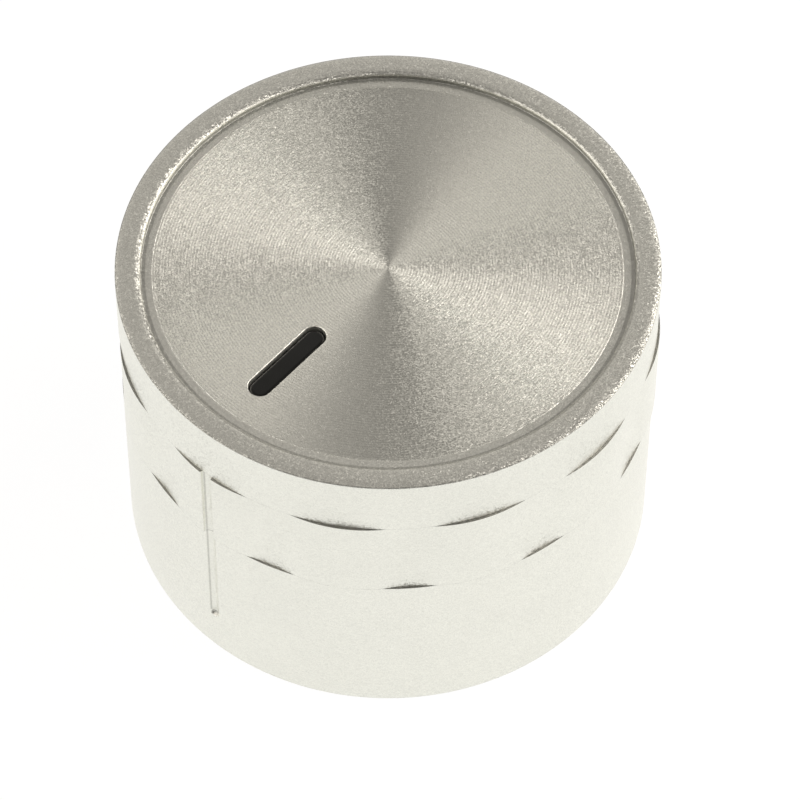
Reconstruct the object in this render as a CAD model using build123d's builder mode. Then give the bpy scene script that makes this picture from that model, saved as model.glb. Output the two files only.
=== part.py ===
"""Push-on hob knob: a painted outer shell, a black indicator bar in its face,
a hub that takes the spindle, and the spring ring that makes the hub grip.

Millimetres and degrees.  +Z is up along the spindle axis, the origin is the
centre of the skirt's lower edge, and the pointer lies towards -Y.
"""

import os
from math import cos, radians, sin, sqrt, tan

from build123d import *

# ---- driving sizes ---------------------------------------------------------

# outer form of the shell
crown_diameter = 44.0      # across the top edge
knob_height = 30.8
draft = 0.5                # taper of every outer wall, each side
crown_height = 5.7         # plain band above the grip
grip_height = 8.4
flute_count = 12
crest_height = 0.24        # crests stand this far outside the plain body
flute_depth = 0.19         # flutes sink this far inside it
crest_angle = 19.4         # of each crest, where it crosses the plain body
crown_chamfer = 0.1
base_chamfer = 0.25

# recessed face and the rim round it
face_recess = 0.66
rim_fall_width = 0.65      # outer part of the rim, which falls towards the side
rim_fall_drop = 0.15
rim_flat_width = 0.75
rim_roll_width = 0.9       # roll from the flat top down to the recess's upright wall
rim_roll_drop = 0.3
face_margin = 0.7          # plain ring between that wall and the turned area
face_thickness = 1.8

# side groove that carries the pointer down the skirt
groove_nose = 0.55         # radius of the round section
groove_depth = 0.31        # in the skirt
groove_base_height = 4.6   # groove's lower end above the base

# slot and indicator bar
slot_length = 8.4
slot_width = 1.95
slot_margin = 2.5          # from the slot's outer end to the turned area's edge
indicator_recess = 0.32    # bar's top below the face
indicator_chamfer = 0.2
foot_margin = 1.1          # flange of the bar's foot, all round
foot_thickness = 1.2

# inside of the shell
wall = 1.9                 # under the flutes
deck_gap = 7.3             # hub's deck below the face's underside
seat_rib_count = 8
seat_rib_depth = 1.6
seat_rib_width = 1.2
key_width = 2.4
key_depth = 2.2
bead_count = 4
bead_angle = 24.0
bead_depth = 0.45
bead_height = 1.2
bead_edge = 0.3            # upright edge under each bead's top

# hub
deck_thickness = 2.0
collar_height = 8.0
collar_wall = 1.6
web_count = 4              # clear of the slits and the key
web_height = 5.0
web_width = 1.5
boss_diameter = 12.4
boss_recess = 4.5          # boss's mouth above the base
boss_root_chamfer = 0.8

# spindle: round at the hub's mouth, then with one flat
spindle_diameter = 6.0
spindle_flat = 4.6         # across the flat
lead_in_depth = 4.0
socket_depth = 11.0        # of the D-shaped stretch
mouth_chamfer = 0.5
slit_width = 1.2
slit_depth = 12.5

# spring ring
spring_height = 6.0
spring_thickness = 0.6
spring_gap_angle = 50.0
spring_seat_depth = 0.6
spring_seat_height = 1.8   # spring's lower edge above the boss's mouth

# clearances
spindle_clearance = 0.05   # radial, and on the flat
lead_in_clearance = 0.25   # radial, round the shank at the mouth
bar_clearance = 0.1        # bar to slot, each side
collar_clearance = 0.1     # collar to shell, each side
key_clearance = 0.15       # key to its notch, each side
bead_clearance = 0.05      # collar above its snap beads
spring_clearance = 0.05    # spring to its seat, each way

overrun = 1.0              # cuts reach this far past the surface they open
match_tolerance = 0.01     # for picking an edge by its radius and height

# ---- derived places --------------------------------------------------------

pointer_azimuth = -90.0
flute_pitch = 360.0 / flute_count
crown_radius = crown_diameter / 2
grip_top = knob_height - crown_height
grip_base = grip_top - grip_height


def body_radius(height):
    """Radius of the plain tapered body at a height above the base."""
    return crown_radius + (knob_height - height) * tan(radians(draft))


def polar(radius, azimuth):
    return (radius * cos(radians(azimuth)), radius * sin(radians(azimuth)))


def radial_plane(azimuth):
    """Upright plane through the axis: local x runs outwards, local y up."""
    outwards = (*polar(1, azimuth), 0)
    across = (*polar(1, azimuth - 90), 0)
    return Plane(origin=(0, 0, 0), x_dir=outwards, z_dir=across)


face_height = knob_height - face_recess
face_underside = face_height - face_thickness
crown_edge_height = knob_height - rim_fall_drop
rim_fall_radius = crown_radius - rim_fall_width
rim_roll_radius = rim_fall_radius - rim_flat_width
rim_wall_radius = rim_roll_radius - rim_roll_width
turned_radius = rim_wall_radius - face_margin

bore_radius = body_radius(grip_top) - flute_depth - wall
deck_top = face_underside - deck_gap
deck_underside = deck_top - deck_thickness
collar_base = deck_top - collar_height
bead_top = collar_base - bead_clearance
bead_base = bead_top - bead_height
groove_half_width = sqrt(groove_nose**2 - (groove_nose - groove_depth) ** 2)
groove_foot = groove_base_height + groove_half_width
groove_axis = body_radius(groove_foot) - groove_depth + groove_nose

slot_offset = turned_radius - slot_margin - slot_length / 2
slot_centre = polar(slot_offset, pointer_azimuth)
foot_underside = face_underside - foot_thickness

collar_radius = bore_radius - collar_clearance
boss_radius = boss_diameter / 2
lead_in_radius = spindle_diameter / 2 + lead_in_clearance
socket_radius = spindle_diameter / 2 + spindle_clearance
socket_flat = spindle_flat - spindle_diameter / 2 + spindle_clearance
socket_base = boss_recess + lead_in_depth

spring_seat_radius = boss_radius - spring_seat_depth
spring_base = boss_recess + spring_seat_height
spring_radius = spring_seat_radius + spring_clearance


# ---- outer shell -----------------------------------------------------------

with BuildPart() as outer_shell:
    # skirt, fluted grip and crown stand on one another
    with BuildSketch(Plane.XZ) as skirt_profile:
        with BuildLine():
            Polyline(
                (0, 0),
                (body_radius(0), 0),
                (body_radius(grip_base), grip_base),
                (0, grip_base),
                close=True,
            )
        make_face()
        chamfer(skirt_profile.vertices().sort_by(Axis.X)[-1], base_chamfer)
    revolve(axis=Axis.Z)

    crossing_radius = body_radius(grip_base)
    with BuildSketch(Plane.XY.offset(grip_base)):
        with BuildLine():
            for flute in range(flute_count):
                crest = pointer_azimuth + flute * flute_pitch
                crest_start = polar(crossing_radius, crest - crest_angle / 2)
                crest_end = polar(crossing_radius, crest + crest_angle / 2)
                next_start = polar(crossing_radius, crest + flute_pitch - crest_angle / 2)
                peak = polar(crossing_radius + crest_height, crest)
                floor = polar(crossing_radius - flute_depth, crest + flute_pitch / 2)
                ThreePointArc(crest_start, peak, crest_end)
                ThreePointArc(crest_end, floor, next_start)
        make_face()
    extrude(amount=grip_height, taper=draft)

    # pointer groove down the grip and skirt, ball-ended; the crown closes its top
    groove_line = Plane(
        origin=(0, -groove_axis, groove_foot),
        x_dir=(1, 0, 0),
        z_dir=(0, sin(radians(draft)), cos(radians(draft))),
    )
    with BuildSketch(groove_line):
        Circle(groove_nose)
    extrude(amount=grip_top - groove_foot + overrun, mode=Mode.SUBTRACT)
    with Locations(groove_line):
        Sphere(groove_nose, mode=Mode.SUBTRACT)

    with BuildSketch(Plane.XZ) as crown_profile:
        with BuildLine():
            Polyline(
                (0, grip_top),
                (body_radius(grip_top), grip_top),
                (body_radius(crown_edge_height), crown_edge_height),
                (rim_fall_radius, knob_height),
                (rim_roll_radius, knob_height),
                (rim_wall_radius, knob_height - rim_roll_drop),
                (rim_wall_radius, face_height),
                (0, face_height),
                close=True,
            )
        make_face()
        chamfer(crown_profile.vertices().sort_by(Axis.X)[-2], crown_chamfer)
    revolve(axis=Axis.Z)

    # hollow inside, drafted towards the mouth below the snap beads
    with BuildSketch(Plane.XZ):
        with BuildLine():
            Polyline(
                (0, 0),
                (bore_radius + bead_base * tan(radians(draft)), 0),
                (bore_radius, bead_base),
                (bore_radius, face_underside),
                (0, face_underside),
                close=True,
            )
        make_face()
    revolve(axis=Axis.Z, mode=Mode.SUBTRACT)

    # ribs that the hub's deck is pushed home against
    rib_middle = bore_radius - seat_rib_depth / 2
    rib_reach = seat_rib_depth + wall / 2
    with BuildSketch(Plane.XY.offset(deck_top)):
        with PolarLocations(rib_middle + wall / 4, seat_rib_count):
            Rectangle(rib_reach, seat_rib_width)
    extrude(amount=deck_gap)

    # key opposite the pointer, so that the hub goes in one way round
    key_middle = polar(bore_radius - key_depth / 2 + wall / 4, pointer_azimuth + 180)
    with BuildSketch(Plane.XY.offset(collar_base)):
        with Locations(key_middle):
            Rectangle(key_width, key_depth + wall / 2)
    extrude(amount=face_underside - collar_base)

    # snap beads under the hub's collar
    for bead in range(bead_count):
        bead_azimuth = pointer_azimuth + (bead + 0.5) * 360 / bead_count
        with BuildSketch(radial_plane(bead_azimuth - bead_angle / 2)):
            with BuildLine():
                Polyline(
                    (bore_radius + wall / 2, bead_top),
                    (bore_radius - bead_depth, bead_top),
                    (bore_radius - bead_depth, bead_top - bead_edge),
                    (bore_radius, bead_base),
                    (bore_radius + wall / 2, bead_base),
                    close=True,
                )
            make_face()
        revolve(axis=Axis.Z, revolution_arc=bead_angle)

    # slot for the indicator bar
    with BuildSketch(Plane.XY.offset(face_underside)):
        with Locations(slot_centre):
            SlotOverall(slot_length, slot_width, rotation=pointer_azimuth)
    extrude(amount=face_thickness, mode=Mode.SUBTRACT)

outer_shell.part.label = "outer_shell"


# ---- indicator bar ---------------------------------------------------------

bar_length = slot_length - 2 * bar_clearance
bar_width = slot_width - 2 * bar_clearance
with BuildPart() as indicator_bar:
    with BuildSketch(Plane.XY.offset(foot_underside)):
        with Locations(slot_centre):
            SlotOverall(
                slot_length + 2 * foot_margin,
                slot_width + 2 * foot_margin,
                rotation=pointer_azimuth,
            )
    extrude(amount=foot_thickness)
    with BuildSketch(Plane.XY.offset(face_underside)):
        with Locations(slot_centre):
            SlotOverall(bar_length, bar_width, rotation=pointer_azimuth)
    extrude(amount=face_thickness - indicator_recess)
    chamfer(indicator_bar.edges().group_by(Axis.Z)[-1], indicator_chamfer)

indicator_bar.part.label = "indicator_bar"


# ---- inner hub -------------------------------------------------------------

with BuildPart() as inner_hub:
    # deck with its collar, then the boss
    with BuildSketch(Plane.XY.offset(deck_underside)):
        Circle(collar_radius)
    extrude(amount=deck_thickness)
    with BuildSketch(Plane.XY.offset(collar_base)):
        Circle(collar_radius)
        Circle(collar_radius - collar_wall, mode=Mode.SUBTRACT)
    extrude(amount=collar_height - deck_thickness)
    with BuildSketch(Plane.XY.offset(boss_recess)):
        Circle(boss_radius)
    extrude(amount=deck_underside - boss_recess)
    boss_root = inner_hub.edges().filter_by(GeomType.CIRCLE).filter_by(
        lambda edge: abs(edge.radius - boss_radius) < match_tolerance
        and abs(edge.center().Z - deck_underside) < match_tolerance
    )
    chamfer(boss_root, boss_root_chamfer)

    # webs from the boss to the collar
    web_length = collar_radius - collar_wall / 2 - boss_radius / 2
    with BuildSketch(Plane.XY.offset(deck_underside - web_height)):
        with PolarLocations(boss_radius / 2 + web_length / 2, web_count, 180 / web_count):
            Rectangle(web_length, web_width)
    extrude(amount=web_height)

    # notch for the shell's key
    notch_depth = key_depth + key_clearance
    with BuildSketch(Plane.XY.offset(collar_base)):
        with Locations(polar(bore_radius - notch_depth / 2, pointer_azimuth + 180)):
            Rectangle(key_width + 2 * key_clearance, notch_depth)
    extrude(amount=collar_height, mode=Mode.SUBTRACT)

    # spindle socket: round at the mouth, D-shaped above
    with BuildSketch(Plane.XY.offset(boss_recess)):
        Circle(lead_in_radius)
    extrude(amount=lead_in_depth, mode=Mode.SUBTRACT)
    with BuildSketch(Plane.XY.offset(socket_base)):
        Circle(socket_radius)
        with Locations((0, socket_flat)):
            Rectangle(
                2 * socket_radius,
                socket_radius,
                align=(Align.CENTER, Align.MIN),
                mode=Mode.SUBTRACT,
            )
    extrude(amount=socket_depth, mode=Mode.SUBTRACT)
    mouth_edge = inner_hub.edges().filter_by(GeomType.CIRCLE).filter_by(
        lambda edge: abs(edge.radius - lead_in_radius) < match_tolerance
        and abs(edge.center().Z - boss_recess) < match_tolerance
    )
    chamfer(mouth_edge, mouth_chamfer)

    # seat of the spring ring
    with BuildSketch(Plane.XY.offset(spring_base - spring_clearance)):
        Circle(boss_radius + spring_thickness)
        Circle(spring_seat_radius, mode=Mode.SUBTRACT)
    extrude(amount=spring_height + 2 * spring_clearance, mode=Mode.SUBTRACT)

    # slits that split the boss into two jaws
    with BuildSketch(Plane.XY.offset(boss_recess)):
        Rectangle(boss_diameter + 2 * overrun, slit_width)
    extrude(amount=slit_depth, mode=Mode.SUBTRACT)

    # post that holds the indicator bar up
    with BuildSketch(Plane.XY.offset(deck_top)):
        with Locations(slot_centre):
            SlotOverall(
                slot_length + foot_margin,
                slot_width + foot_margin,
                rotation=pointer_azimuth,
            )
    extrude(amount=foot_underside - deck_top)

inner_hub.part.label = "inner_hub"


# ---- spindle spring --------------------------------------------------------

with BuildPart() as spindle_spring:
    spring_start = pointer_azimuth + spring_gap_angle / 2
    with BuildSketch(radial_plane(spring_start)):
        with Locations((spring_radius + spring_thickness / 2, spring_base + spring_height / 2)):
            Rectangle(spring_thickness, spring_height)
    revolve(axis=Axis.Z, revolution_arc=360 - spring_gap_angle)

spindle_spring.part.label = "spindle_spring"


# ---- export ----------------------------------------------------------------

os.makedirs("parts", exist_ok=True)
export_step(outer_shell.part, "parts/outer_shell.step")
export_step(indicator_bar.part, "parts/indicator_bar.step")
export_step(inner_hub.part, "parts/inner_hub.step")
export_step(spindle_spring.part, "parts/spindle_spring.step")
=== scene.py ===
"""Push-on hob knob, dressed: a sprayed silver shell with a turned face, a gloss
black indicator bar, a glass-filled hub and the spring ring that makes it grip.

Sizes are written in millimetres and degrees, as the part's own drawing has
them, and turned to metres where a mesh is made.  +Z is up along the spindle,
the pointer lies towards -Y, and the base stands on z = 0.
"""

import math

import bmesh
import bpy
import numpy as np
from mathutils import Matrix, Vector


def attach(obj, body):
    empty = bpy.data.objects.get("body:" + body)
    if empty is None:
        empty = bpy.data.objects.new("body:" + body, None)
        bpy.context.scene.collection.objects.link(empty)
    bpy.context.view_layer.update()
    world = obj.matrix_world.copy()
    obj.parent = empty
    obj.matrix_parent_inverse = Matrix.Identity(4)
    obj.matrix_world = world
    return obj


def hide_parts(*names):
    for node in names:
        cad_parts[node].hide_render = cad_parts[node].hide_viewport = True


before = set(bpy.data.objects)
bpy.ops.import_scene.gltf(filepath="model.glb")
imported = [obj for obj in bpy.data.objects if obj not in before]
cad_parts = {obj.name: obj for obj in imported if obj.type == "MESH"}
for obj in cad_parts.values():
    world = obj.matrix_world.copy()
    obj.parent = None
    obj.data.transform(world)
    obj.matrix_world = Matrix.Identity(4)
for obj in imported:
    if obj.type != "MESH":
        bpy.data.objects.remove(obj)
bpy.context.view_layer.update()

MM = 0.001
BODY = "root"

# ---- sizes of the shell, from the part's drawing ---------------------------

KNOB_HEIGHT = 30.8
CROWN_RADIUS = 22.0
DRAFT = math.tan(math.radians(0.5))
GRIP_TOP = 25.10
GRIP_BASE = 16.70
FLUTE_PITCH = 30.0
CREST_HALF = 9.7           # half a crest, in degrees
FLUTE_HALF = FLUTE_PITCH / 2 - CREST_HALF
CREST_HEIGHT = 0.233       # crests stand this far outside the plain body
FLUTE_DEPTH = 0.19         # flutes sink this far inside it
STEP_ROUND = 0.025         # softness of the steps above and below the grip
BASE_ROUND = 0.25
CROWN_ROUND = 0.05         # tight corner between the rim's fall and the side

RIM_OUTER = 21.35          # outer end of the rim's flat top, where it begins to fall
RIM_FALL = 19.0            # slope that the fall reaches at the corner, in degrees
RIM_INNER = 20.60          # inner end of the flat top
RIM_ROLL = 1.0             # radius of the roll inside it
ROLL_END = 32.0            # slope where the roll tightens into the wall, in degrees
WALL_ROUND = 0.25          # corner between the roll and the recess's wall
WALL_SLOPE = 88.0          # of that wall down to the face, in degrees
FACE = 30.14               # height of the recessed face
FOOT_ROUND = 0.08          # corner between the wall and the face
TURNED = 19.0              # radius of the turned area
RING_LINE = 0.05           # half the width of the fine line round it
RING_LINE_DEPTH = 0.03

GROOVE_RADIUS = 0.55       # of the round cutter that the groove has the form of
GROOVE_DEPTH = 0.31        # in the skirt
GROOVE_END = 5.10          # height of the cutter's middle at the lower end
GROOVE_EDGE = 0.03         # softness of the groove's edges

SLOT_CENTRE = -12.3        # on Y
SLOT_LENGTH = 8.4
SLOT_WIDTH = 1.95
SLOT_ROUND = 0.09          # of its upper edge

CEILING = 28.34            # underside of the face
BORE = 19.97               # radius of the hollow inside
BORE_MOUTH = 20.07         # the same at the base
BORE_BREAK = 11.79         # below this height the bore is drafted
CEILING_ROUND = 0.25
MOUTH_ROUND = 0.2

ROOT = 0.6                 # what stands inside runs on this far into the wall
ROOT_UP = 0.5              # and this far into the face's thickness
BEAD_COUNT, BEAD_HALF = 4, 12.0            # half a bead, in degrees
BEAD_TOP, BEAD_DEPTH = 12.99, 0.45
BEAD_EDGE, BEAD_BREAK = 0.3, 0.05          # upright edge, and the corner over it
KEY_WIDTH, KEY_DEPTH, KEY_BASE = 2.4, 2.2, 13.04
RIB_COUNT, RIB_WIDTH, RIB_DEPTH, RIB_BASE = 8, 1.2, 1.6, 21.04

BAR_TOP = 29.82
BAR_ROUND = 0.25
BAR_GAP = 0.1              # to the slot, each side
FOOT_MARGIN = 1.1          # flange of the bar's foot, beyond the slot
FOOT_BASE = 27.14
FOOT_EDGE = 0.15           # softness of the flange's edges

SPRING_INNER, SPRING_OUTER = 5.65, 6.25
SPRING_BASE, SPRING_TOP = 6.3, 12.3
SPRING_GAP = 50.0          # in degrees, at the pointer's side
EDGE_WIDTH = 0.12          # of the softened edges of spring and hub

STUDIO_DISTANCE = 0.7      # of lamps and cards from the knob, in metres

# ---- mesh tools ------------------------------------------------------------


def grid_quads(rows, columns, close_rows=False):
    """Corner numbers of the quads of a grid of points that is closed round its
    columns, and round its rows too if asked: point (i, j) has number
    i * columns + j."""
    i = np.arange(rows if close_rows else rows - 1)[:, None]
    j = np.arange(columns)[None, :]
    up, right = (i + 1) % rows, (j + 1) % columns
    corners = (i * columns + j, i * columns + right, up * columns + right, up * columns + j)
    return np.stack([np.broadcast_to(c, (len(i), columns)) for c in corners], -1).reshape(-1, 4)


def signed_volume(points, quads):
    """Sum over the quads' two triangles of a . (b x c) / 6, which is positive
    if the faces look outwards."""
    a, b, c, d = (points[quads[:, k]] for k in range(4))
    return (np.einsum("ij,ij->", a, np.cross(b, c)) + np.einsum("ij,ij->", a, np.cross(c, d))) / 6


def make_piece(name, points, quads, materials, finish=None, caps=()):
    """Puts points, in millimetres, and quads into a new mesh object whose faces
    look outwards, with smooth shading.  caps are rings of point numbers closed
    by one flat face each, and finish is each quad's number in materials."""
    points = np.asarray(points, float).reshape(-1, 3)
    quads = np.asarray(quads)
    mesh = bpy.data.meshes.new(name)
    faces = [tuple(q) for q in quads.tolist()] + [tuple(c) for c in caps]
    mesh.from_pydata(points * MM, [], faces)
    for material in materials:
        mesh.materials.append(material)
    numbers = np.zeros(len(faces), np.int32)
    if finish is not None:
        numbers[: len(finish)] = finish
    mesh.polygons.foreach_set("material_index", numbers)
    mesh.polygons.foreach_set("use_smooth", np.ones(len(faces), bool))
    mesh.validate()
    mesh.update()
    piece = bpy.data.objects.new(name, mesh)
    bpy.context.scene.collection.objects.link(piece)
    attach(piece, BODY)
    return piece


def turn_outwards(points, quads):
    """The quads, each turned round if the closed form would be inside out."""
    return quads if signed_volume(points, quads) > 0 else quads[:, ::-1]


def unit(vectors):
    return vectors / np.linalg.norm(vectors, axis=-1, keepdims=True)


# ---- outer shell -----------------------------------------------------------


def shell_columns():
    """Azimuths from the pointer, in degrees: 22 equal steps over each crest, 14
    over each flute, and steps of 0.06 to 0.12 across the pointer groove."""
    crest = np.linspace(-CREST_HALF, CREST_HALF, 23)[:-1]
    flute = np.linspace(CREST_HALF, FLUTE_PITCH - CREST_HALF, 15)[:-1]
    pitch = np.concatenate([crest, flute])
    ring = (np.arange(12)[:, None] * FLUTE_PITCH + pitch[None, :]).ravel()
    ring = (ring + 180) % 360 - 180
    half = np.concatenate([
        np.arange(0.1, 1.15, 0.1), np.arange(1.2, 2.07, 0.06), np.arange(2.1, 2.45, 0.12),
    ])
    fine = np.concatenate([-half[::-1], [0.0], half])
    return np.sort(np.concatenate([ring[np.abs(ring) > 2.5], fine]))


def body(height):
    """Radius of the plain tapered body."""
    return CROWN_RADIUS + (KNOB_HEIGHT - height) * DRAFT


def wave(angle):
    """How far the grip stands outside the plain body: h (1 - (a / c)^2) over a
    crest and -d (1 - (a / f)^2) over a flute, a being the angle from the
    middle of either, and c and f half their angles."""
    from_crest = (angle + FLUTE_PITCH / 2) % FLUTE_PITCH - FLUTE_PITCH / 2
    from_flute = angle % FLUTE_PITCH - FLUTE_PITCH / 2
    crest = CREST_HEIGHT * (1 - (from_crest / CREST_HALF) ** 2)
    flute = -FLUTE_DEPTH * (1 - (from_flute / FLUTE_HALF) ** 2)
    return np.where(np.abs(from_crest) <= CREST_HALF, crest, flute)


def groove(radius, angle, height):
    """The radius with the pointer groove taken out: where a round-nosed cutter
    of radius c, run down the body at the groove's depth, stands further in.
    At a distance s from its path it stands at body - depth + c - sqrt(c^2 -
    s^2).  The lesser of the two radii is taken, softly at the edges:
    (a + b - sqrt((a - b)^2 + e^2)) / 2."""
    across = CROWN_RADIUS * np.sin(np.radians(angle))
    away = np.hypot(across, np.minimum(height - GROOVE_END, 0))
    away = np.where(np.abs(angle) < 90, np.minimum(away, GROOVE_RADIUS), GROOVE_RADIUS)
    nose = GROOVE_RADIUS - np.sqrt(GROOVE_RADIUS ** 2 - away ** 2)
    cutter = (body(height) - GROOVE_DEPTH + nose) / np.cos(np.radians(np.clip(angle, -5, 5)))
    both = (radius + cutter - np.hypot(radius - cutter, GROOVE_EDGE)) / 2
    return np.where(away < GROOVE_RADIUS, both, radius)


def around(radius, height, angle):
    """Points at that radius and height, at azimuths counted from the pointer."""
    turned = np.radians(angle - 90)
    shape = np.broadcast_shapes(np.shape(radius), np.shape(height), np.shape(angle))
    return np.stack([
        np.broadcast_to(radius * np.cos(turned), shape),
        np.broadcast_to(radius * np.sin(turned), shape),
        np.broadcast_to(height, shape),
    ], -1)


def arc(centre_r, centre_z, half_r, half_z, start, end, count):
    """Rows (radius, height) along an upright ellipse's arc, both ends included."""
    turn = np.radians(np.linspace(start, end, count))
    return np.stack([centre_r + half_r * np.cos(turn), centre_z + half_z * np.sin(turn)], 1)


def stadium(angle, outset=0.0):
    """Points on the slot's edge, one for each column, and how they face.  Each
    lies where the ray from the slot's middle to the column's place on the
    turned area's edge leaves the stadium, then moves outset outwards."""
    middle = np.array([0.0, SLOT_CENTRE])
    rim = around(TURNED, 0.0, angle)[:, :2] - middle
    way = unit(rim)
    reach, radius = SLOT_LENGTH / 2 - SLOT_WIDTH / 2, SLOT_WIDTH / 2
    side = radius / np.maximum(np.abs(way[:, 0]), 1e-9)
    along = np.abs(way[:, 1])
    cap = reach * along + np.sqrt(np.maximum(radius ** 2 - (reach * way[:, 0]) ** 2, 0))
    on_side = side * along <= reach
    edge = way * np.where(on_side, side, cap)[:, None]
    core = np.stack([np.zeros(len(edge)), np.clip(edge[:, 1], -reach, reach)], 1)
    facing = unit(edge - core)
    return edge + middle + facing * outset


def flat_rows(inner, outer, height, shares):
    """Rows from one closed line to another at one height, mixed by shares."""
    shares = np.asarray(shares)[:, None, None]
    rows = inner[None] * (1 - shares) + outer[None] * shares
    level = np.full(rows.shape[:2] + (1,), height)
    return np.concatenate([rows, level], -1)


def shell_rows(angle):
    """The shell's skin as bands of rows, each (rows, columns, 3), with the
    finish of each band: 0 painted, 1 turned and painted, 2 bare.  They run
    from the base's outer edge up the side, over the rim, across the face,
    down through the slot and back along the hollow inside."""
    def around_rows(rows):
        return around(rows[:, 0:1], rows[:, 1:2], angle[None, :])

    swing = np.sin(np.linspace(-1, 1, 13) * math.pi / 2)[:, None]
    rise = (np.linspace(-1, 1, 13) ** 3)[:, None] * STEP_ROUND

    base_outer = body(0)
    base = arc(base_outer - BASE_ROUND, BASE_ROUND, BASE_ROUND, BASE_ROUND, -90, 0, 7)

    end = GROOVE_END + np.linspace(-0.75, 0.1, 18)
    skirt_height = np.concatenate([[0.4, 1.5, 4.2], end, [7, 11, 15, 16.3, 16.5]])[:, None]
    skirt_radius = np.broadcast_to(body(skirt_height), (len(skirt_height), len(angle)))
    low_height = GRIP_BASE + rise
    low_radius = body(low_height) + wave(angle) * (1 + swing) / 2
    grip_height = np.linspace(GRIP_BASE + 0.2, GRIP_TOP - 0.2, 4)[:, None]
    grip_radius = body(grip_height) + wave(angle)
    height = np.concatenate([skirt_height, low_height, grip_height])
    radius = np.concatenate([skirt_radius, low_radius, grip_radius])
    radius = groove(radius, angle[None, :], height)
    side = around(radius, height, angle[None, :])

    top_height = GRIP_TOP + rise
    stand = radius[-1] - body(grip_height[-1])
    step = around(body(top_height) + stand * (1 - swing) / 2, top_height, angle[None, :])

    plain = GRIP_TOP + np.array([0.2, 1.2, 3.2, 5.2])
    crown = around_rows(np.stack([body(plain), plain], 1))
    fall_radius = ((CROWN_RADIUS - CROWN_ROUND - RIM_OUTER) / math.sin(math.radians(RIM_FALL))
                   + CROWN_ROUND)
    fall = arc(RIM_OUTER, KNOB_HEIGHT - fall_radius, fall_radius, fall_radius,
               90 - RIM_FALL, 90, 7)
    corner_z = fall[0, 1] - CROWN_ROUND * math.cos(math.radians(RIM_FALL))
    edge = arc(CROWN_RADIUS - CROWN_ROUND, corner_z, CROWN_ROUND, CROWN_ROUND,
               0, 90 - RIM_FALL, 6)[:-1]
    roll = arc(RIM_INNER, KNOB_HEIGHT - RIM_ROLL, RIM_ROLL, RIM_ROLL, 90, 90 + ROLL_END, 8)
    roll_end = math.radians(90 + ROLL_END)
    facing = np.array([math.cos(roll_end), math.sin(roll_end)])
    tight = arc(*(roll[-1] - WALL_ROUND * facing), WALL_ROUND, WALL_ROUND,
                90 + ROLL_END, 90 + WALL_SLOPE, 5)[1:]
    slope = math.tan(math.radians(WALL_SLOPE))
    bend = FOOT_ROUND * math.tan(math.radians(WALL_SLOPE / 2))
    foot_r = tight[-1, 0] - (tight[-1, 1] - FACE) / slope
    foot = arc(foot_r - bend, FACE + FOOT_ROUND, FOOT_ROUND, FOOT_ROUND,
               WALL_SLOPE - 90, -90, 5)
    lines = TURNED + RING_LINE * np.array([4, 1.3, 1, 0.5, 0, -0.5, -1, -1.3])
    depth = RING_LINE_DEPTH * np.array([0, 0, 0.1, 0.65, 1, 0.65, 0.1, 0])
    margin = np.stack([lines, FACE - depth], 1)
    top = around_rows(np.concatenate([edge, fall, roll, tight, foot, margin]))
    painted = np.concatenate([around_rows(base), side, step, crown, top])

    circle = around(TURNED - RING_LINE * 1.6, FACE, angle)[:, :2]
    turned = flat_rows(circle, stadium(angle, SLOT_ROUND), FACE,
                       [0, 0.08, 0.25, 0.45, 0.65, 0.85, 0.95, 0.985, 1])

    turns = np.linspace(0, math.pi / 2, 5)[1:]
    lip = [flat_rows(stadium(angle, SLOT_ROUND * (1 - math.sin(turn))), circle,
                     FACE - SLOT_ROUND * (1 - math.cos(turn)), [0]) for turn in turns]
    wall = [flat_rows(stadium(angle), circle, z, [0]) for z in (FACE - 0.2, 29.2, 28.5)]
    slot = np.concatenate(lip + wall)

    ceiling_edge = around(BORE - CEILING_ROUND, 0.0, angle)[:, :2]
    ceiling = flat_rows(stadium(angle), ceiling_edge, CEILING, [0, 0.02, 0.3, 0.7, 0.98])
    corner = arc(BORE - CEILING_ROUND, CEILING - CEILING_ROUND,
                 CEILING_ROUND, CEILING_ROUND, 90, 0, 5)
    bore = np.array([[BORE, 27.8], [BORE, 21.0], [BORE, 13.0], [BORE, BORE_BREAK],
                     [(BORE + BORE_MOUTH) / 2, 6.0], [BORE_MOUTH, 0.5]])
    mouth = arc(BORE_MOUTH + MOUTH_ROUND, MOUTH_ROUND, MOUTH_ROUND, MOUTH_ROUND, 180, 270, 5)
    land = np.array([[BORE_MOUTH + MOUTH_ROUND + 0.1, 0.0], [base_outer - BASE_ROUND - 0.1, 0.0]])
    inside = np.concatenate([ceiling, around_rows(np.concatenate([corner, bore, mouth, land]))])
    return [(painted, 0), (turned, 1), (slot, 0), (inside, 2)]


def block(cross, azimuths):
    """A closed profile of (radius, height) points carried round the axis over
    the azimuths from the pointer: (points, quads, the two end rings)."""
    points = around(cross[None, :, 0], cross[None, :, 1], np.asarray(azimuths)[:, None])
    count = len(cross)
    quads = grid_quads(len(azimuths), count)
    last = np.arange(count) + (len(azimuths) - 1) * count
    return points.reshape(-1, 3), quads, (np.arange(count), last)


def box_profile(inner, outer, low, high):
    return np.array([[inner, low], [outer, low], [outer, high], [inner, high]])


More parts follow.
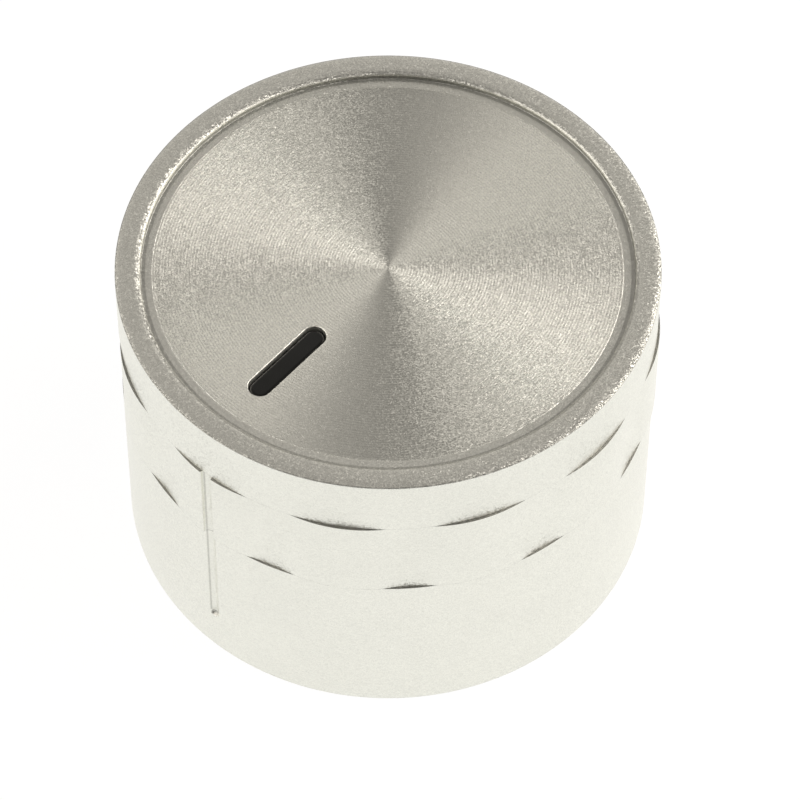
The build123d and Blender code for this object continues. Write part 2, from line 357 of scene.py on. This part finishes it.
def inner_blocks():
    """What stands on the inside of the shell, each rooted in its wall: four snap
    beads under the hub's collar, the key opposite the pointer, and the ribs
    that the hub's deck is pushed home against."""
    root = BORE + ROOT
    inside = BORE - BEAD_DEPTH
    bead = np.array([[root, BEAD_TOP], [inside + BEAD_BREAK, BEAD_TOP],
                     [inside, BEAD_TOP - BEAD_BREAK], [inside, BEAD_TOP - BEAD_EDGE],
                     [BORE, BORE_BREAK], [root, BORE_BREAK]])
    bead_span = np.linspace(-BEAD_HALF, BEAD_HALF, 25)
    blocks = [block(bead, 45 + 90 * k + bead_span) for k in range(BEAD_COUNT)]
    top = CEILING + ROOT_UP
    key_half = math.degrees(KEY_WIDTH / 2 / (BORE - KEY_DEPTH / 2))
    blocks.append(block(box_profile(BORE - KEY_DEPTH, root, KEY_BASE, top),
                        180 + np.linspace(-key_half, key_half, 5)))
    rib_half = math.degrees(RIB_WIDTH / 2 / (BORE - RIB_DEPTH / 2))
    for k in range(RIB_COUNT):
        blocks.append(block(box_profile(BORE - RIB_DEPTH, root, RIB_BASE, top),
                            90 + 45 * k + np.linspace(-rib_half, rib_half, 3)))
    return blocks


def turn_block_outwards(points, faces, ends):
    """Quads and end rings of a carried profile, turned so that all look out."""
    middle = points[faces].mean((0, 1))
    a, b, c = (points[faces[:, k]] for k in range(3))
    facing = np.cross(b - a, c - a)
    outwards = np.einsum("ij,ij->", facing, points[faces].mean(1) - middle) > 0
    if not outwards:
        faces = faces[:, ::-1]
    first, last = (ends[0][::-1], ends[1]) if outwards else (ends[0], ends[1][::-1])
    return faces, [first.tolist(), last.tolist()]


def make_outer_shell(materials):
    """The skin and the blocks inside it as one object: finish 0 is painted, 1
    turned and painted, 2 bare."""
    angle = shell_columns()
    bands = shell_rows(angle)
    skin = np.concatenate([rows for rows, _ in bands])
    quads = grid_quads(len(skin), len(angle), close_rows=True)
    finish = np.concatenate([np.full(len(rows), number) for rows, number in bands])
    finish = np.repeat(finish, len(angle))
    points = skin.reshape(-1, 3)
    quads = turn_outwards(points, quads)
    caps = []
    for more, faces, ends in inner_blocks():
        first = len(points)
        points = np.concatenate([points, more])
        faces, rings = turn_block_outwards(points, faces + first, [e + first for e in ends])
        quads = np.concatenate([quads, faces])
        caps += rings
        finish = np.concatenate([finish, np.full(len(faces), 2)])
    return make_piece("shell_sprayed", points, quads, materials, finish, caps)


# ---- indicator bar, hub and spring -----------------------------------------


def stadium_line(half_width, half_length, count=24):
    """Closed line round a stadium along Y: count points on each round end."""
    reach = half_length - half_width
    turn = np.linspace(0, math.pi, count)
    x, y = half_width * np.cos(turn), half_width * np.sin(turn)
    top = np.stack([x, y + reach], 1)
    low = np.stack([-x, -y - reach], 1)
    return np.concatenate([top, low]) + [0, SLOT_CENTRE]


def make_indicator_bar(material):
    """Rows round a stadium from the foot's underside up to the bar's rounded
    top edge, closed at both ends by one flat face."""
    half_w, half_l = SLOT_WIDTH / 2 - BAR_GAP, SLOT_LENGTH / 2 - BAR_GAP
    foot = FOOT_MARGIN + BAR_GAP
    rows = [(foot - FOOT_EDGE, FOOT_BASE), (foot, FOOT_BASE + FOOT_EDGE), (foot, CEILING - 0.1),
            (foot - 0.06, CEILING - 0.02), (foot - FOOT_EDGE, CEILING), (0.12, CEILING),
            (0.03, CEILING + 0.03), (0, CEILING + 0.12), (0, BAR_TOP - BAR_ROUND - 0.1)]
    for turn in np.linspace(0, math.pi / 2, 8):
        rows.append((-BAR_ROUND * (1 - math.cos(turn)),
                     BAR_TOP - BAR_ROUND * (1 - math.sin(turn))))
    rows.append((-BAR_ROUND - 0.05, BAR_TOP))
    lines = [stadium_line(half_w + out, half_l + out) for out, _ in rows]
    points = np.stack([np.concatenate([line, np.full((len(line), 1), z)], 1)
                       for line, (_, z) in zip(lines, rows)])
    count = points.shape[1]
    quads = turn_outwards(points.reshape(-1, 3), grid_quads(len(rows), count))
    caps = [list(range(count))[::-1], list(range((len(rows) - 1) * count, len(rows) * count))]
    return make_piece("bar_gloss_black", points, quads, [material], caps=caps)


def soften(piece, name, segments, sharper_than):
    """Rounds the edges that turn by more than that many degrees."""
    bevel = piece.modifiers.new(name, "BEVEL")
    bevel.width = EDGE_WIDTH * MM
    bevel.segments = segments
    bevel.limit_method = "ANGLE"
    bevel.angle_limit = math.radians(sharper_than)
    return bevel


def make_spring(material):
    """A flat strip bent into an open ring: an upright rectangle carried round
    the axis, open at the pointer's side."""
    strip = box_profile(SPRING_INNER, SPRING_OUTER, SPRING_BASE, SPRING_TOP)
    points, quads, ends = block(strip, np.linspace(SPRING_GAP / 2, 360 - SPRING_GAP / 2, 125))
    quads, caps = turn_block_outwards(points, quads, ends)
    piece = make_piece("spring_ring", points, quads, [material], caps=caps)
    soften(piece, "worn_edges", 3, 50)
    return piece


def make_hub(material):
    """The drawn hub with its loose triangles merged to faces, and every sharp
    edge softened as a mould softens it."""
    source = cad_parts["inner_hub"]
    mesh = source.data.copy()
    mesh.name = "hub_moulded"
    shape = bmesh.new()
    shape.from_mesh(mesh)
    bmesh.ops.remove_doubles(shape, verts=shape.verts, dist=0.002 * MM)
    bmesh.ops.dissolve_limit(shape, angle_limit=math.radians(0.5), verts=shape.verts,
                             edges=shape.edges)
    shape.to_mesh(mesh)
    shape.free()
    mesh.materials.clear()
    mesh.materials.append(material)
    piece = bpy.data.objects.new("hub_moulded", mesh)
    bpy.context.scene.collection.objects.link(piece)
    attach(piece, BODY)
    soften(piece, "mould_radius", 2, 35).harden_normals = True
    mesh.polygons.foreach_set("use_smooth", np.ones(len(mesh.polygons), bool))
    return piece


# ---- finishes --------------------------------------------------------------


def linear(code):
    """sRGB hex to linear red, green, blue and alpha."""
    parts = [int(code[k:k + 2], 16) / 255 for k in (1, 3, 5)]
    return tuple(p / 12.92 if p <= 0.04045 else ((p + 0.055) / 1.055) ** 2.4
                 for p in parts) + (1.0,)


def node(tree, kind, settings=(), inputs=()):
    """Adds a node: settings are its properties by name, inputs its sockets by
    name or number, each a value or another node's output to link."""
    made = tree.nodes.new(kind)
    for name, value in dict(settings).items():
        setattr(made, name, value)
    for name, value in dict(inputs).items():
        if isinstance(value, bpy.types.NodeSocket):
            tree.links.new(value, made.inputs[name])
        else:
            made.inputs[name].default_value = value
    return made


def new_material(name):
    """An empty material and its tree, with the shader's output node in it."""
    material = bpy.data.materials.new(name)
    material.use_nodes = True
    material.node_tree.nodes.clear()
    return material, material.node_tree


def finish_material(tree, shader):
    node(tree, "ShaderNodeOutputMaterial", inputs={"Surface": shader.outputs[0]})


def object_place(tree):
    return node(tree, "ShaderNodeTexCoord").outputs["Object"]


def maths(tree, operation, *values):
    """The result of a Math node on the values, in their order."""
    return node(tree, "ShaderNodeMath", {"operation": operation},
                dict(enumerate(values))).outputs[0]


def vectors(tree, operation, *values):
    """The resulting vector of a Vector Math node on the values."""
    return node(tree, "ShaderNodeVectorMath", {"operation": operation},
                dict(enumerate(values))).outputs[0]


def scaled(tree, vector, factor):
    return node(tree, "ShaderNodeVectorMath", {"operation": "SCALE"},
                {0: vector, "Scale": factor}).outputs[0]


def mapped(tree, value, low, high, **more):
    """A Map Range node from low to high: of 0 to 1, unless more says otherwise."""
    settings = {"interpolation_type": "SMOOTHSTEP"} if more.pop("smooth", False) else {}
    sockets = {name.replace("_", " "): number for name, number in more.items()}
    return node(tree, "ShaderNodeMapRange", settings,
                {"Value": value, **sockets, "To Min": low, "To Max": high}).outputs[0]


def noise(tree, place, size, detail, **more):
    """Noise whose patches are about size millimetres across."""
    return node(tree, "ShaderNodeTexNoise", {},
                {"Vector": place, "Scale": 1 / (size * MM), "Detail": detail, **more}).outputs[0]


def bumped(tree, height, strength, depth):
    """A normal bumped by height, depth being in millimetres."""
    return node(tree, "ShaderNodeBump", {},
                {"Height": height, "Strength": strength, "Distance": depth * MM}).outputs[0]


def blend(tree, factor, first, second):
    """The colour from one hex colour to the other by factor."""
    return node(tree, "ShaderNodeMix", {"data_type": "RGBA"},
                {0: factor, 6: linear(first), 7: linear(second)}).outputs[2]


def from_axis(tree, place):
    """The place's level vector from the axis, and its length."""
    flat = vectors(tree, "MULTIPLY", place, (1.0, 1.0, 0.0))
    length = node(tree, "ShaderNodeVectorMath", {"operation": "LENGTH"}, {0: flat})
    return flat, length.outputs["Value"]


def principled(tree, inputs):
    finish_material(tree, node(tree, "ShaderNodeBsdfPrincipled", {}, inputs))


PAINT = "#ECECE3"
FLAKE = 0.09               # size of a visible flake, drawn coarse enough to show
RING_PITCH = 0.242         # turning feed of the face
RING_SLOPE = 0.21          # of the turned rings' flanks
SPARKLE_START, SPARKLE_FULL = 30.45, 30.7  # heights between which flakes grow livelier

# Where painted shade darkens the paint's colour.  Each place lies inside bands of height, radius,
# x or y, given as the band's middle, its half width and how far it eases out.
POINTER_SIDE = (-CROWN_RADIUS, 2.0, 1.0)
RECESS_WALL = {"height": (FACE + 0.16, 0.12, 0.08), "radius": (19.9, 0.25, 0.1)}
RECESS_LIP = {"height": (KNOB_HEIGHT - 0.23, 0.13, 0.06), "radius": (20.08, 0.17, 0.08)}
CROWN_EDGE = {"height": (KNOB_HEIGHT - 0.12, 0.03, 0.03),
              "radius": (CROWN_RADIUS, 0.06, 0.05)}
GROOVE_FLANK = {"y": POINTER_SIDE, "x": (-0.42, 0.02, 0.05),
                "height": ((GRIP_TOP + GROOVE_END) / 2, (GRIP_TOP - GROOVE_END) / 2, 0.1)}
GROOVE_FOOT = {"y": POINTER_SIDE, "x": (-0.05, 0.25, 0.1),
               "height": (GROOVE_END - 0.30, 0.12, 0.12)}
TOP_LEDGES = {"height": (GRIP_TOP, 0.020, 0.012)}
LOW_LEDGES = {"height": (GRIP_BASE, 0.020, 0.012)}
SHADE_DEEP_LEVEL, SHADE_LIGHT_LEVEL = 0.34, 0.55                # brightness left under deep and under light painted shade
LIP_SHARE, FLANK_SHARE = 0.75, 0.6         # how strong the light painted shade is there


def flaked(tree, place, tilt, spread):
    """Metal flake under a satin clear: one Voronoi cell is one flake, with its
    own small tilt and its own brightness.  Returns the tilted normal before
    it is made a unit, and the colour."""
    cells = node(tree, "ShaderNodeTexVoronoi", {"feature": "F1"},
                 {"Vector": place, "Scale": 1 / (FLAKE * MM)}).outputs["Color"]
    lean = scaled(tree, vectors(tree, "SUBTRACT", cells, (0.5, 0.5, 0.5)), tilt)
    facing = node(tree, "ShaderNodeNewGeometry").outputs["Normal"]
    normal = vectors(tree, "ADD", facing, lean)
    cell = node(tree, "ShaderNodeSeparateColor", inputs={0: cells}).outputs[0]
    light = maths(tree, "MULTIPLY", maths(tree, "SUBTRACT", cell, 0.5), spread)
    light = maths(tree, "MULTIPLY_ADD", light, 2.0, 1.0)
    drift = mapped(tree, noise(tree, place, 6, 3.0), 0.97, 1.03)
    level = maths(tree, "MULTIPLY", light, drift)
    return normal, scaled(tree, linear(PAINT)[:3], level)


def band(tree, value, middle, half, soft):
    """1 where the value lies within half of the middle, easing to 0 over soft."""
    away = maths(tree, "ABSOLUTE", maths(tree, "SUBTRACT", value, middle * MM))
    return mapped(tree, away, 1.0, 0.0, smooth=True,
                  From_Min=half * MM, From_Max=(half + soft) * MM)


def all_of(tree, first, *others):
    """The product of factors from 0 to 1."""
    for other in others:
        first = maths(tree, "MULTIPLY", first, other)
    return first


def painted_shade(tree, place):
    """Painted shade, as a factor on the paint's colour that is 1 where none is
    painted.  It darkens the upright wall round the face and the narrow ledges
    where the flutes end, for the shade in those hollows, and less deeply the lip
    over that wall, dimming its highlight, the crown's sharp edge, as a painted
    dark reflection, and the groove's one steep flank and its round end, as
    painted shade."""
    parts = node(tree, "ShaderNodeSeparateXYZ", inputs={0: place})
    _, radius = from_axis(tree, place)
    measures = {"x": parts.outputs["X"], "y": parts.outputs["Y"],
                "height": parts.outputs["Z"], "radius": radius}

    def at(where):
        return all_of(tree, *(band(tree, measures[name], *sizes)
                              for name, sizes in where.items()))

    ledges = maths(tree, "MAXIMUM", at(TOP_LEDGES), at(LOW_LEDGES))
    deep_shade = maths(tree, "MAXIMUM", at(RECESS_WALL), ledges)
    lip = all_of(tree, at(RECESS_LIP), LIP_SHARE)
    light_shade = maths(tree, "MAXIMUM", at(CROWN_EDGE), at(GROOVE_FOOT))
    light_shade = maths(tree, "MAXIMUM", light_shade, lip)
    light_shade = maths(tree, "MULTIPLY_ADD", at(GROOVE_FLANK), FLANK_SHARE, light_shade)
    return all_of(tree, mapped(tree, deep_shade, 1.0, SHADE_DEEP_LEVEL), mapped(tree, light_shade, 1.0, SHADE_LIGHT_LEVEL))


def silver_flake_paint():
    """Silver metal-flake spray paint over moulded ABS: satin, with a fine
    sparkle because each flake lies at its own small angle.  The sparkle is
    livelier on the rim than on the side."""
    material, tree = new_material("silver_flake_paint")
    place = object_place(tree)
    height = node(tree, "ShaderNodeSeparateXYZ", inputs={0: place}).outputs["Z"]
    spread = mapped(tree, height, 0.06, 0.20,
                    From_Min=SPARKLE_START * MM, From_Max=SPARKLE_FULL * MM)
    normal, colour = flaked(tree, place, 0.36, spread)
    # The paint's colour is multiplied by painted shade: darker in the recess, on the ledges, the
    # lip, the crown's edge and the groove.
    principled(tree, {
        "Base Color": scaled(tree, colour, painted_shade(tree, place)), "Metallic": 0.92,
        "Roughness": 0.38, "Normal": vectors(tree, "NORMALIZE", normal)})
    return material


def silver_turned_paint():
    """The same paint over a finely turned face: rings 0.24 mm apart spread the
    light across them, so that bright fans open from the middle."""
    material, tree = new_material("silver_flake_paint_turned")
    place = object_place(tree)
    normal, colour = flaked(tree, place, 0.34, 0.21)
    flat, radius = from_axis(tree, place)
    outwards = vectors(tree, "NORMALIZE", flat)
    phase = maths(tree, "MULTIPLY", radius, 2 * math.pi / (RING_PITCH * MM))
    slope = maths(tree, "MULTIPLY", maths(tree, "SINE", phase), RING_SLOPE)
    normal = vectors(tree, "ADD", normal, scaled(tree, outwards, slope))
    principled(tree, {
        "Base Color": colour, "Metallic": 0.86, "Roughness": 0.49,
        "Anisotropic": 0.94, "Anisotropic Rotation": 0.25,
        "Tangent": vectors(tree, "CROSS_PRODUCT", (0.0, 0.0, 1.0), outwards),
        "Normal": vectors(tree, "NORMALIZE", normal)})
    return material


def bare_abs():
    """Grey moulded ABS inside the shell, never painted: a fine spark-eroded
    grain, with silver overspray that fades out a few millimetres in."""
    material, tree = new_material("grey_moulded_abs")
    place = object_place(tree)
    grain = noise(tree, place, 0.25, 3.0)
    height = node(tree, "ShaderNodeSeparateXYZ", inputs={0: place}).outputs["Z"]
    ragged = maths(tree, "MULTIPLY_ADD", noise(tree, place, 1.6, 4.0), 4.0 * MM, height)
    spray = mapped(tree, ragged, 1.0, 0.0, smooth=True, From_Min=2.0 * MM, From_Max=6.0 * MM)
    principled(tree, {
        "Base Color": blend(tree, spray, "#8E8F90", "#C9C8C4"),
        "Metallic": maths(tree, "MULTIPLY", spray, 0.7),
        "Roughness": mapped(tree, grain, 0.45, 0.6), "IOR": 1.54,
        "Normal": bumped(tree, grain, 0.25, 0.03)})
    return material


def gloss_black():
    """Black ABS from a polished mould: glossy, with the slightest waviness that
    a sink mark leaves and a few fine wipe marks in its gloss."""
    material, tree = new_material("black_gloss_abs")
    place = object_place(tree)
    wipe = noise(tree, place, 0.6, 5.0)
    principled(tree, {
        "Base Color": blend(tree, wipe, "#080906", "#0E0F0B"),
        "Roughness": mapped(tree, wipe, 0.10, 0.22), "IOR": 1.54,
        "Normal": bumped(tree, noise(tree, place, 3, 1.0), 0.3, 0.05)})
    return material


def glass_filled_nylon():
    """Black nylon with short glass fibre, moulded: matt, with the faint grey
    streaks that the fibres leave at the surface."""
    material, tree = new_material("black_glass_filled_nylon")
    turn = node(tree, "ShaderNodeMapping", {}, {
        "Vector": object_place(tree), "Scale": (1.0, 1.0, 0.25), "Rotation": (0.3, 0.2, 0.0)})
    fibre = noise(tree, turn.outputs[0], 0.35, 4.0, Roughness=0.65)
    colour = node(tree, "ShaderNodeValToRGB", {}, {0: fibre})
    for element, position, code in zip(colour.color_ramp.elements, (0.42, 0.78),
                                       ("#1D1D1D", "#3A3A38")):
        element.position = position
        element.color = linear(code)
    principled(tree, {
        "Base Color": colour.outputs[0], "Roughness": mapped(tree, fibre, 0.5, 0.68),
        "IOR": 1.53, "Normal": bumped(tree, fibre, 0.35, 0.04)})
    return material


def rolled_spring_steel():
    """Cold-rolled spring strip: bright, with fine rolling lines along the strip,
    which runs round the axis, and a light film of oil in patches."""
    material, tree = new_material("rolled_spring_steel")
    place = object_place(tree)
    squeeze = node(tree, "ShaderNodeMapping", {}, {"Vector": place, "Scale": (0.06, 0.06, 1.0)})
    lines = noise(tree, squeeze.outputs[0], 0.12, 2.0)
    oil = noise(tree, place, 2.5, 3.0)
    principled(tree, {
        "Base Color": blend(tree, oil, "#B9BABB", "#9C9A96"), "Metallic": 1.0,
        "Roughness": mapped(tree, oil, 0.24, 0.40), "Normal": bumped(tree, lines, 0.3, 0.02)})
    return material


# ---- the object ------------------------------------------------------------

shell = make_outer_shell([silver_flake_paint(), silver_turned_paint(), bare_abs()])
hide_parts("outer_shell")

bar = make_indicator_bar(gloss_black())
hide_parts("indicator_bar")

hub = make_hub(glass_filled_nylon())
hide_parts("inner_hub")

spring = make_spring(rolled_spring_steel())
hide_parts("spindle_spring")

# ---- stage, light and camera -----------------------------------------------

CAMERA_AZIMUTH = -49.5
CAMERA_LENS = 176.967
CAMERA_EYE = (0.125792, -0.147283, 0.281178)
CAMERA_TARGET = (0.000770, 0.000651, 0.011855)
CAMERA_ROLL = 0.005478
LAMP_TARGET = (0, 0, 0.02)
WARM = (1.0, 0.95, 0.905, 1.0)     # white light, a little warm
ROOM = 0.2                 # strength of the room's light on the knob
SHEET = 40.0               # half the floor sheet's side, in metres
GLOW, GLOW_SHARE = 1.07, 0.85      # of the floor's own white
CARD_STEPS = 25


def seen_white(tree, seen, lit):
    """Mixes two shaders: seen for camera, glossy and transmission rays, lit for
    the rest."""
    path = node(tree, "ShaderNodeLightPath").outputs
    either = maths(tree, "MAXIMUM", path["Is Glossy Ray"], path["Is Transmission Ray"])
    either = maths(tree, "MAXIMUM", either, path["Is Camera Ray"])
    return node(tree, "ShaderNodeMixShader", {}, {0: either, 1: lit, 2: seen})


def make_floor():
    """A wide white sheet: it takes a soft shadow, and its own white carries it
    to the paper white of a light table."""
    mesh = bpy.data.meshes.new("floor_sheet")
    corners = [(-SHEET, -SHEET, 0), (SHEET, -SHEET, 0), (SHEET, SHEET, 0), (-SHEET, SHEET, 0)]
    mesh.from_pydata(corners, [], [(0, 1, 2, 3)])
    floor = bpy.data.objects.new("floor_sheet", mesh)
    bpy.context.scene.collection.objects.link(floor)
    material, tree = new_material("white_sheet")
    matt = node(tree, "ShaderNodeBsdfDiffuse", {}, {"Color": linear("#F2F2F0")})
    glow = node(tree, "ShaderNodeEmission", {}, {"Strength": GLOW})
    seen = node(tree, "ShaderNodeMixShader", {},
                {0: GLOW_SHARE, 1: matt.outputs[0], 2: glow.outputs[0]})
    finish_material(tree, seen_white(tree, seen.outputs[0], matt.outputs[0]))
    mesh.materials.append(material)


def make_world():
    """A dim warm room, which the camera sees as white."""
    world = bpy.data.worlds.new("studio")
    world.use_nodes = True
    tree = world.node_tree
    tree.nodes.clear()
    room = node(tree, "ShaderNodeBackground", {}, {"Color": WARM, "Strength": ROOM})
    white = node(tree, "ShaderNodeBackground", {}, {"Color": linear("#FFFFFF"), "Strength": 1.0})
    path = node(tree, "ShaderNodeLightPath")
    mix = node(tree, "ShaderNodeMixShader", {}, {
        0: path.outputs["Is Camera Ray"], 1: room.outputs[0], 2: white.outputs[0]})
    node(tree, "ShaderNodeOutputWorld", inputs={"Surface": mix.outputs[0]})
    bpy.context.scene.world = world


def aim(thing, eye, target, roll=0.0):
    """Places a lamp or camera at eye, looking at target, turned by roll."""
    way = (Vector(target) - Vector(eye)).to_track_quat("-Z", "Y").to_matrix().to_4x4()
    thing.matrix_world = Matrix.Translation(eye) @ way @ Matrix.Rotation(roll, 4, "Z")


def softbox(name, azimuth, elevation, width, height, radiance):
    """A rectangular lamp round the knob, at an azimuth counted from the right
    of the camera, whose face shines with the given radiance."""
    turn, up = math.radians(azimuth + CAMERA_AZIMUTH + 90), math.radians(elevation)
    data = bpy.data.lights.new(name, "AREA")
    data.shape = "RECTANGLE"
    data.size, data.size_y = width, height
    data.energy = radiance * math.pi * width * height
    data.color = WARM[:3]
    lamp = bpy.data.objects.new(name, data)
    bpy.context.scene.collection.objects.link(lamp)
    way = (math.cos(turn) * math.cos(up), math.sin(turn) * math.cos(up), math.sin(up))
    aim(lamp, STUDIO_DISTANCE * Vector(way), LAMP_TARGET)
    lamp.visible_camera = False


def dark_card(name, start, end, low, high, material):
    """A black card bent round the knob, as a studio's dark side: it spans the
    azimuths from start to end, counted from the right of the camera, and the
    elevations from low to high.  The knob mirrors it, the camera doesn't see it."""
    turn = np.radians(np.linspace(start, end, CARD_STEPS) + CAMERA_AZIMUTH + 90)
    rise = np.radians([low, high])[:, None]
    points = STUDIO_DISTANCE * np.stack([
        np.cos(turn) * np.cos(rise), np.sin(turn) * np.cos(rise),
        np.sin(rise) * np.ones_like(turn)], 2)
    mesh = bpy.data.meshes.new(name)
    mesh.from_pydata(points.reshape(-1, 3).tolist(), [], grid_quads(2, CARD_STEPS).tolist())
    card = bpy.data.objects.new(name, mesh)
    bpy.context.scene.collection.objects.link(card)
    mesh.materials.append(material)
    card.visible_camera = False
    card.visible_shadow = False


make_floor()
make_world()
black_card, card_tree = new_material("black_card")
finish_material(card_tree, node(card_tree, "ShaderNodeBsdfDiffuse", {},
                                {"Color": linear("#101010")}))
dark_card("card_behind_camera", start=-108, end=-74, low=14, high=72, material=black_card)
dark_card("card_low", start=-105, end=20, low=0, high=10, material=black_card)
softbox("softbox_right", azimuth=9, elevation=25, width=0.80, height=0.60, radiance=3.5)
softbox("softbox_left", azimuth=-175, elevation=25, width=0.85, height=0.62, radiance=2.05)
softbox("softbox_near_left", azimuth=-140, elevation=46, width=0.30, height=0.34, radiance=1.2)
softbox("softbox_near_right", azimuth=-46, elevation=34, width=0.40, height=0.50, radiance=2.0)
softbox("softbox_far", azimuth=90, elevation=32, width=1.30, height=0.66, radiance=0.25)

camera_data = bpy.data.cameras.new("camera")
camera_data.sensor_width = 36.0
camera_data.lens = CAMERA_LENS
camera_data.clip_start, camera_data.clip_end = 0.01, 100.0
camera = bpy.data.objects.new("camera", camera_data)
bpy.context.scene.collection.objects.link(camera)
aim(camera, CAMERA_EYE, CAMERA_TARGET, CAMERA_ROLL)
bpy.context.scene.camera = camera
bpy.context.scene.view_settings.view_transform = "Standard"
